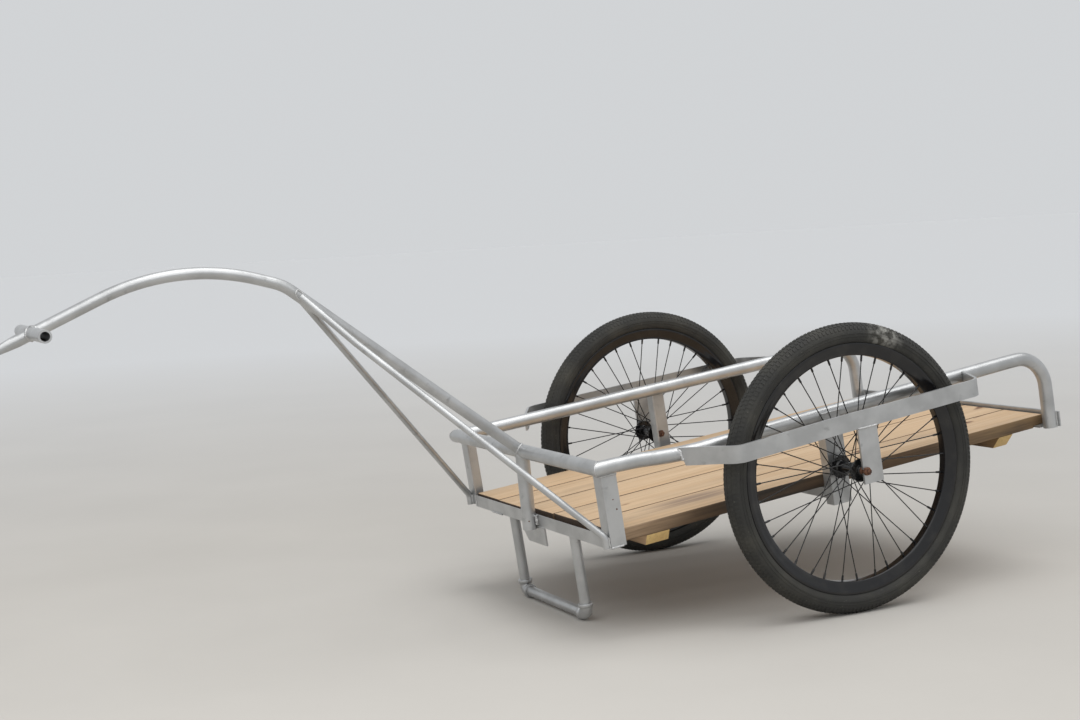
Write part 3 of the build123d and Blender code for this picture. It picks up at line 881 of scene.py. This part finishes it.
# %% Places on the front
rail_low, rail_high = level_box("front_rail")
rail_r = (rail_high.z - rail_low.z) / 2
rail = Vector(((rail_low.x + rail_high.x) / 2, 0, (rail_low.z + rail_high.z) / 2))
side_low, side_high = level_box("side_rail_left")
rail_y = (side_low.y + side_high.y) / 2
post_low, post_high = level_box("front_post_left")
cross_low, cross_high = level_box("front_crossmember")
tab_low, tab_high = level_box("front_tab")
brace_r, brace_foot_y, brace_foot_z = 8.0, 388.0, -28.5
brace_foot_half, brace_foot_out = 7, 1.5
centre_post_run = (12, 0, -190)
post_face_x, post_top_z = post_high.x, rail.z - rail_r - 2.0
print("rail", rail, "radius", round(rail_r, 2), "post face", round(post_face_x, 2))

# %% Welds of the front
post_weld, post_top_weld, mitre_weld, tab_weld, brace_weld = 2.4, 3.8, 1.4, 1.8, 2.2
post_foot_stop = 8
# side of the centre post, end above the crossmember's lower edge, size
CENTRE_POST_WELDS = ((1, 6, 4.6), (-1, 2, 3.4))
centre_post_out, centre_post_top, centre_post_foot, centre_post_drop = 3, 17.5, 18, 2
UNDER_WELD_YS = (-262, -200)

front = [bead(saddle(rail, centre_post_run, rail_r, rail, (0, 1, 0), rail_r), post_weld, True)]
front += [bead([(post_face_x + centre_post_out, way * centre_post_top, cross_high.z - centre_post_drop),
                (post_face_x + centre_post_out, way * centre_post_foot, cross_low.z + lift)], size)
          for way, lift, size in CENTRE_POST_WELDS]
front += [bead([(post_face_x, y, tab_high.z) for y in (tab_low.y, tab_high.y)], tab_weld),
          bead([(post_face_x, y, cross_low.z) for y in UNDER_WELD_YS], post_weld)]
for side, sign in SIDES:
    outer_y, inner_y = sign * post_high.y, sign * post_low.y
    front += [bead([(post_face_x, inner_y, post_top_z), (post_face_x, outer_y, post_top_z),
                    (post_low.x, outer_y, post_top_z)], post_top_weld, seed=sign),
              bead([(x, outer_y, post_low.z) for x in (post_face_x, post_low.x + post_foot_stop)], post_weld),
              bead([(post_face_x, inner_y, z) for z in (cross_low.z, cross_high.z)], post_weld),
              bead(hoop((rail.x, sign * rail_y, rail.z), rail_r, (1, sign, 0), (0, 0, 1)), mitre_weld, True)]
    for edge in (-brace_foot_half, brace_foot_half):
        x, y = post_face_x + brace_foot_out, sign * brace_foot_y + edge
        front.append(bead([(x, y, post_low.z), (x, y, brace_foot_z)], brace_weld))
settle_welds("front", front)

# %% [markdown]
# The drawbar sits on the front rail.  The braces meet it below the knee, and the pull handle crosses its
# end with a heavy fillet on both sides.

# %% Welds of the drawbar
drawbar_weld, handle_weld = 3.0, 3.6
drawbar_r = 13.45
drawbar_rise, nose_dip = radians(44.4), radians(16.7)
brace_top_x, brace_top_y = 1072.7, 12.0
handle_low, handle_high = level_box("pull_handle")
handle_r = (handle_high.z - handle_low.z) / 2
handle = Vector(((handle_low.x + handle_high.x) / 2, 0, (handle_low.z + handle_high.z) / 2))
rise_run = Vector((cos(drawbar_rise), 0, sin(drawbar_rise)))
nose_run = Vector((cos(nose_dip), 0, -sin(nose_dip)))

drawbar = [bead(saddle(rail, rise_run, drawbar_r, rail, (0, 1, 0), rail_r), drawbar_weld, True)]
drawbar += [bead(saddle(handle, way * nose_run, drawbar_r, handle, (0, 1, 0), handle_r), handle_weld, True)
            for way in (1, -1)]
for side, sign in SIDES:
    top_z = rail.z + (brace_top_x - rail.x) * tan(drawbar_rise)
    top = Vector((brace_top_x, sign * brace_top_y, top_z))
    foot = Vector((post_face_x + brace_r, sign * brace_foot_y, brace_foot_z))
    drawbar.append(bead(saddle(top, foot - top, brace_r, rail, rise_run, drawbar_r), brace_weld, True))
settle_welds("drawbar", drawbar)

# %% [markdown]
# Beside each wheel the outrigger's ends are welded to the side rail, the slotted plate to the outrigger's
# lower edge and the carrier to the rail.  On the left the beads go down with the bent rail, and one more
# closes the bar's slanted end.

# %% Welds of the wheel carriers
plate_weld, carrier_weld, outrigger_weld, slant_weld = 2.6, 2.4, 2.6, 3.8
plate_low, plate_high = level_box("outer_dropout_left")
carrier_low, carrier_high = level_box("wheel_carrier_left")
carrier_in = 2
OUTRIGGER_END_XS = (398.0, -399.0)
OUTRIGGER_HOOP = (-52, 42)
bar_half_t, bar_weld_share = 3.0, 0.7

wheels = []
for side, sign in SIDES:
    plate_y, carrier_y = sign * plate_high.y, sign * (carrier_high.y - carrier_in)
    wheels += [bead([(x, plate_y, plate_high.z) for x in (plate_low.x, plate_high.x)], plate_weld, seed=sign),
               bead([(x, carrier_y, carrier_high.z) for x in (carrier_low.x, carrier_high.x)], carrier_weld)]
    for x in OUTRIGGER_END_XS:
        rail_middle = (x, sign * rail_y, rail.z - (dip_at(x, RAIL_DIPS) if side == "left" else 0))
        line = hoop(rail_middle, rail_r, (0, sign, 0), (0, 0, 1), *OUTRIGGER_HOOP)
        wheels.append(bead(line, outrigger_weld))
bar_corner = bar_end + bar_out * bar_half_t - Vector((0, 0, dip_at(bar_end.x, OUTRIGGER_DIPS)))
bar_slant = bar_run * bar_end_slant + Vector((0, 0, bar_end_height))
wheels.append(bead([bar_corner, bar_corner - bar_slant * bar_weld_share], slant_weld))
settle_welds("wheel_carriers", wheels)

# %% [markdown]
# At the rear the bent-down rails stand in the angle iron, and the stand's legs hang from the front
# crossmember.

# %% Welds of the rear and the stand
rear_weld, rear_foot_weld, stand_weld = 2.8, 2.6, 2.0
rear_low, rear_high = level_box("rear_crossmember")
rear_out, rear_half = 1.5, 9
rear_foot_lift, rear_foot_in = 1, 1
REAR_HOOP = (-60, 60)
rail_rear_x = side_low.x + rail_r
leg_low, leg_high = level_box("stand_leg_left")
leg_r, leg_drop = (leg_high.x - leg_low.x) / 2, 0.5
leg_x, leg_y = (leg_low.x + leg_high.x) / 2, (leg_low.y + leg_high.y) / 2

rear, stand = [], []
for side, sign in SIDES:
    for edge in (-rear_half, rear_half):
        x, y = side_low.x + rear_out, sign * rail_y + edge
        rear.append(bead([(x, y, rear_low.z), (x, y, rear_high.z)], rear_weld))
    rail_foot = (rail_rear_x, sign * rail_y, rear_low.z + rear_foot_lift)
    foot_line = hoop(rail_foot, rail_r - rear_foot_in, (-1, 0, 0), (0, sign, 0), *REAR_HOOP)
    rear.append(bead(foot_line, rear_foot_weld))
    leg_top = (leg_x, sign * leg_y, leg_high.z - leg_drop)
    stand.append(bead(hoop(leg_top, leg_r, (1, 0, 0), (0, 1, 0)), stand_weld, True))
settle_welds("rear", rear)
settle_welds("stand", stand)

# %% [markdown]
# Three small rusty pits show in the paint: two on the left corner post and one near the foot of the centre
# post.  Each is a low rusty stud that stands a hair proud of the surface, which shows at any size of
# picture.

# %% Pits
# place on the surface, direction out of it, radius
PITS = ((Vector((572.7, 398.2, 52.7)), Vector((0, 1, 0)), 2.0),
        (Vector((566.9, 398.2, 29.7)), Vector((0, 1, 0)), 2.6),
        (Vector((616.0, 15.2, -40.0)), Vector((0.41, 0.91, 0)), 2.4))
pit_rise, pit_crown = 0.4, 0.7
pits = [([place - out, place + out * pit_rise], [radius, radius * pit_crown], False)
        for place, out, radius in PITS]
settle("paint_pits", bars("paint_pits", pits), [RUST], "frame")

# %% [markdown]
# ## Floor and light
#
# The floor is pale and plain.  Far off it takes the sky's tone, so no edge shows; a curved backdrop would
# do this too, but it would be in the way of a view from behind.

# %% Floor
floor_half = 60
floor_near, floor_far = (0.475, 0.453, 0.42), (0.638, 0.643, 0.649)
floor_mottle = 1.05
fade_start, fade_end = 1.5, 10

floor_mesh = bpy.data.meshes.new("floor")
floor_shape = bmesh.new()
bmesh.ops.create_grid(floor_shape, x_segments=1, y_segments=1, size=floor_half)
floor_shape.to_mesh(floor_mesh)
floor_shape.free()
floor_finish, floor_tree, floor_shader = finish("floor", 0, 0.8)
floor_shader.inputs["Specular IOR Level"].default_value = 0.1
reach = node(floor_tree, "ShaderNodeVectorMath", operation="LENGTH")
floor_tree.links.new(node(floor_tree, "ShaderNodeTexCoord").outputs["Object"], reach.inputs[0])
fade = node(floor_tree, "ShaderNodeMapRange", from_min=fade_start, from_max=fade_end)
floor_tree.links.new(reach.outputs["Value"], fade.inputs["Value"])
mottle = speckle(floor_tree, 1.3, 0.35, 0.65, detail=6)
floor_tone = blend(floor_tree, mottle, floor_near, [c * floor_mottle for c in floor_near])
wire_up(floor_tree, floor_shader, blend(floor_tree, fade.outputs["Result"], floor_tone, floor_far))
floor_mesh.materials.append(floor_finish)
floor = bpy.data.objects.new("floor", floor_mesh)
scene.collection.objects.link(floor)
print("floor", 2 * floor_half, "m wide")

# %% [markdown]
# An even pale sky gives most of the light.  One very soft lamp stands high above, and a long panel hangs
# over the camera's side of the trailer and draws the bright lines along the pipes.

# %% Light
panel_place, panel_target = Vector((0.9, 1.9, 2.7)), Vector((0.2, 0.2, 0.4))


def lamp(name, kind, energy, aim):
    """A lamp that shines along aim."""
    made = bpy.data.objects.new(name, bpy.data.lights.new(name, kind))
    made.data.energy = energy
    made.rotation_mode = "QUATERNION"
    made.rotation_quaternion = aim.to_track_quat("-Z", "Y")
    scene.collection.objects.link(made)
    return made


overhead = lamp("overhead", "SUN", 1.2, Vector((0.25, -0.1, -0.95)))
overhead.data.angle = radians(45)
panel = lamp("panel", "AREA", 54, panel_target - panel_place)
panel.location = panel_place
panel.data.shape = "RECTANGLE"
panel.data.size = 5.0
panel.data.size_y = 2.6
world = bpy.data.worlds.new("studio")
world.use_nodes = True
sky = world.node_tree.nodes["Background"]
sky.inputs["Color"].default_value = (0.64, 0.655, 0.67, 1)
sky.inputs["Strength"].default_value = 1.0
scene.world = world
scene.view_settings.view_transform = "Standard"
